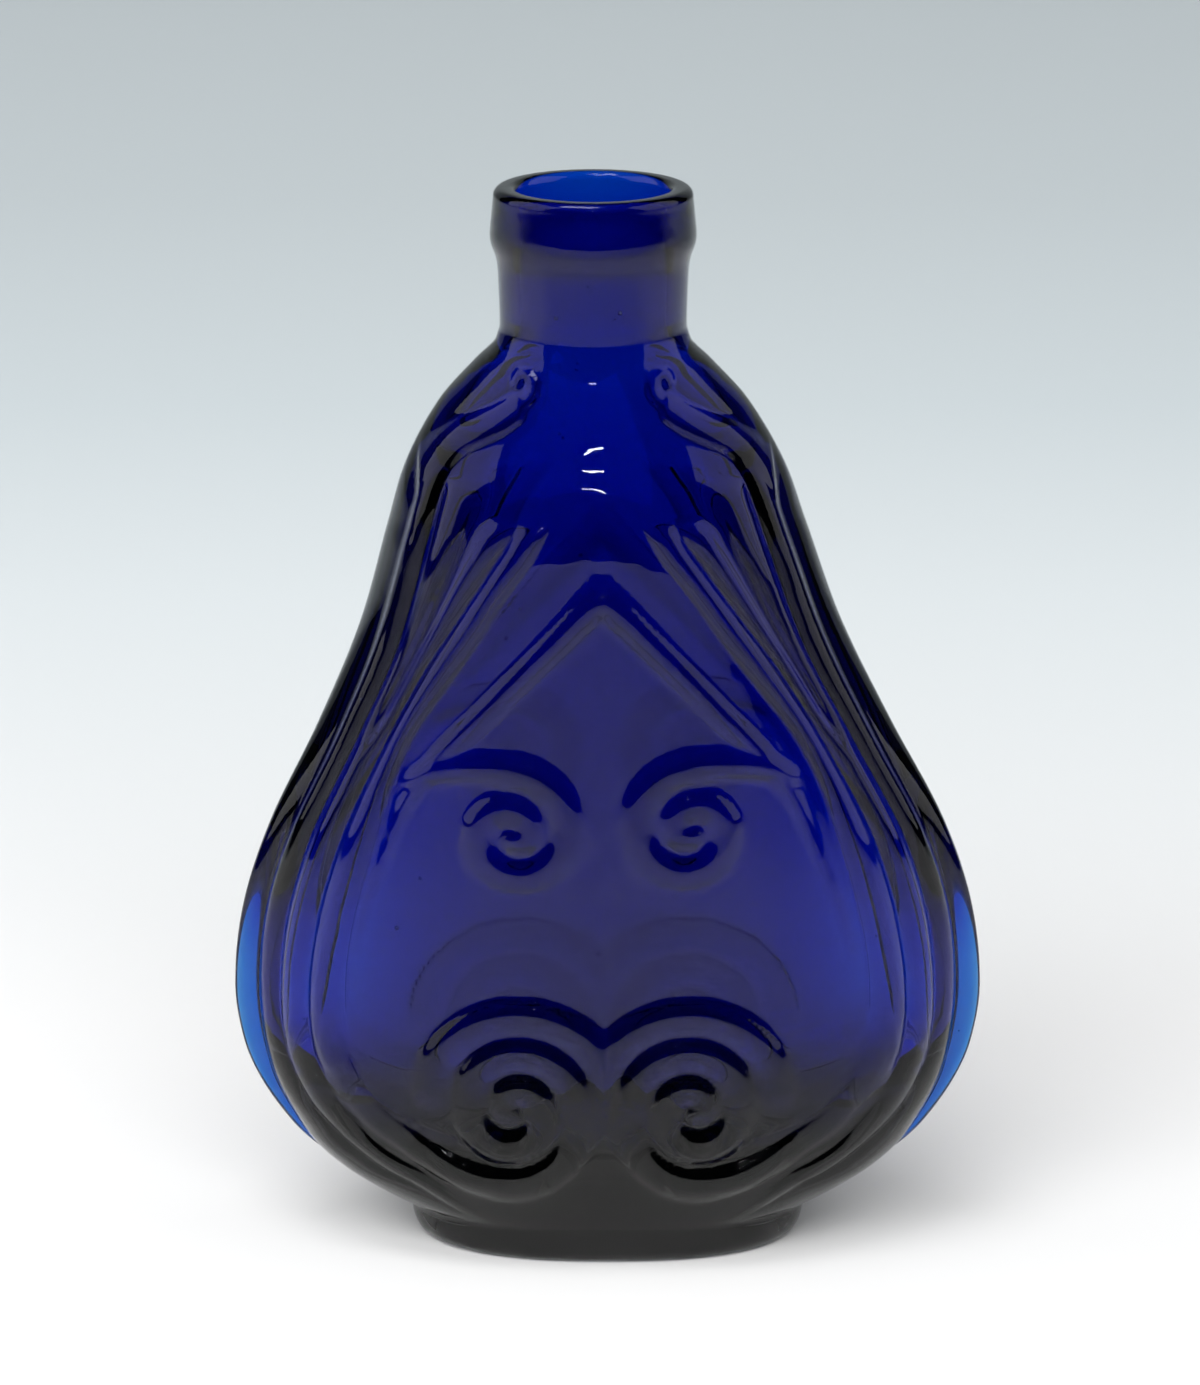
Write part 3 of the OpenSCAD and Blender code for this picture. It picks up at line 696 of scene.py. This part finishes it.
def paper_with_painted_shade():
    """A white sheet with painted shade: its tone falls off away from the bottle, where the light would fall
    off.
    """
    mat = bpy.data.materials.new("paper_with_painted_shade")
    mat.use_nodes = True
    tree = mat.node_tree
    shader = tree.nodes["Principled BSDF"]
    shader.inputs["Roughness"].default_value = PAPER_ROUGHNESS
    where = node(tree, "ShaderNodeTexCoord")
    split = node(tree, "ShaderNodeSeparateXYZ")
    low, high = PAPER_PAINTED_SHADE_TONES[0][0], PAPER_PAINTED_SHADE_TONES[-1][0]
    share = node(tree, "ShaderNodeMapRange")
    share.inputs["From Min"].default_value = low
    share.inputs["From Max"].default_value = high
    painted_shade_ramp = node(tree, "ShaderNodeValToRGB")
    while len(painted_shade_ramp.color_ramp.elements) < len(PAPER_PAINTED_SHADE_TONES):
        painted_shade_ramp.color_ramp.elements.new(0.5)
    # Painted shade: each stop sets the colour at its distance from the bottle, darker where less light would
    # reach
    for stop, (at, painted_tone) in zip(painted_shade_ramp.color_ramp.elements, PAPER_PAINTED_SHADE_TONES):
        stop.position = (at - low) / (high - low)
        # Painted cool shade: far behind the bottle the colour is tinted bluish grey, as shade there would
        # look
        cool_shade = min(1, max(0, (at - PAINTED_COOL_SHADE_FROM) / (PAINTED_COOL_SHADE_TO - PAINTED_COOL_SHADE_FROM)))
        stop.color = (painted_tone * (1 - PAINTED_SHADE_LESS_RED * cool_shade), painted_tone, painted_tone * (1 + PAINTED_SHADE_MORE_BLUE * cool_shade), 1)
    tree.links.new(where.outputs["Object"], split.inputs["Vector"])
    tree.links.new(split.outputs["Y"], share.inputs["Value"])
    tree.links.new(share.outputs["Result"], painted_shade_ramp.inputs["Fac"])
    tree.links.new(painted_shade_ramp.outputs["Color"], shader.inputs["Base Color"])
    return mat


# The table, in metres: its front edge, its half width, where it curves up, the curve's radius, and its top
TABLE_FRONT = -1.3
TABLE_HALF_W = 3.0
TABLE_BACK = 2.5
CURVE_R = 0.8
TABLE_TOP = 2.4


def table():
    """A pale floor that curves up far behind the bottle."""
    profile = [(TABLE_FRONT, 0.0), (TABLE_BACK, 0.0)]
    profile += [(TABLE_BACK + CURVE_R * math.sin(a), CURVE_R - CURVE_R * math.cos(a))
                for a in np.radians(np.arange(10, 91, 10))]
    profile += [(TABLE_BACK + CURVE_R, TABLE_TOP)]
    verts = [(x, y, z) for y, z in profile for x in (-TABLE_HALF_W, TABLE_HALF_W)]
    faces = [(2 * i, 2 * i + 1, 2 * i + 3, 2 * i + 2) for i in range(len(profile) - 1)]
    mesh = bpy.data.meshes.new("table")
    mesh.from_pydata(verts, [], faces)
    mesh.polygons.foreach_set("use_smooth", [True] * len(faces))
    obj = bpy.data.objects.new("table", mesh)
    obj.data.materials.append(paper_with_painted_shade())
    bpy.context.scene.collection.objects.link(obj)


def area(name, place, aim, size, radiance):
    """A soft light of a given brightness, square to the line from its place to its aim."""
    data = bpy.data.lights.new(name, "AREA")
    data.shape = "RECTANGLE"
    data.size, data.size_y = size
    data.energy = math.pi * size[0] * size[1] * radiance
    obj = bpy.data.objects.new(name, data)
    obj.location = place
    obj.rotation_mode = "QUATERNION"
    obj.rotation_quaternion = (Vector(place) - Vector(aim)).to_track_quat("Z", "Y")
    obj.visible_camera = False
    bpy.context.scene.collection.objects.link(obj)
    return obj


# The lights: name, place, aim and size in metres, and radiance
LIGHTS = [
    ("overhead", (-0.3, -0.45, 2.0), (0, 0, 0), (0.9, 0.75), 6),
    ("left_card", (-1.6, -0.1, 1.0), (0, 0, 0.1), (2.0, 2.0), 1.0),
    ("right_card", (1.6, -0.05, 1.0), (0, 0, 0.1), (2.0, 2.0), 0.85),
    ("window", (-0.01, -1.9, 1.16), (0, 0, 0.1), (0.2, 0.012), 40),
    ("tent", (0, -0.2, 2.6), (0, -0.2, 0), (5.0, 5.0), 0.45),
    ("fill", (-0.33, -1.5, 1.05), (0, 0, 0), (2.4, 1.2), 6.9),
]
# Faint bluish light of the room
ROOM_COLOUR = (0.5, 0.6, 0.75, 1)
ROOM_STRENGTH = 0.02

table()
lights = {name: area(name, *values) for name, *values in LIGHTS}
# The white tent round the table lights it evenly, but stays out of what the glass shows
lights["tent"].visible_glossy = lights["tent"].visible_transmission = False
lights["fill"].visible_glossy = False

world = bpy.data.worlds.new("room")
bpy.context.scene.world = world
world.use_nodes = True
world.node_tree.nodes["Background"].inputs["Color"].default_value = ROOM_COLOUR
world.node_tree.nodes["Background"].inputs["Strength"].default_value = ROOM_STRENGTH

# The camera looks down on the bottle from the front, through a long lens
CAMERA_PLACE = (-1.06 * MM, -1.0, 340.76 * MM)
CAMERA_DOWN = 14.71
LENS = 192.6
SENSOR = 36.0
camera_data = bpy.data.cameras.new("camera")
camera_data.lens = LENS
camera_data.sensor_width = SENSOR
camera = bpy.data.objects.new("camera", camera_data)
camera.location = CAMERA_PLACE
camera.rotation_euler = (math.radians(90 - CAMERA_DOWN), 0, 0)
bpy.context.scene.collection.objects.link(camera)
bpy.context.scene.camera = camera
bpy.context.scene.view_settings.view_transform = "Standard"
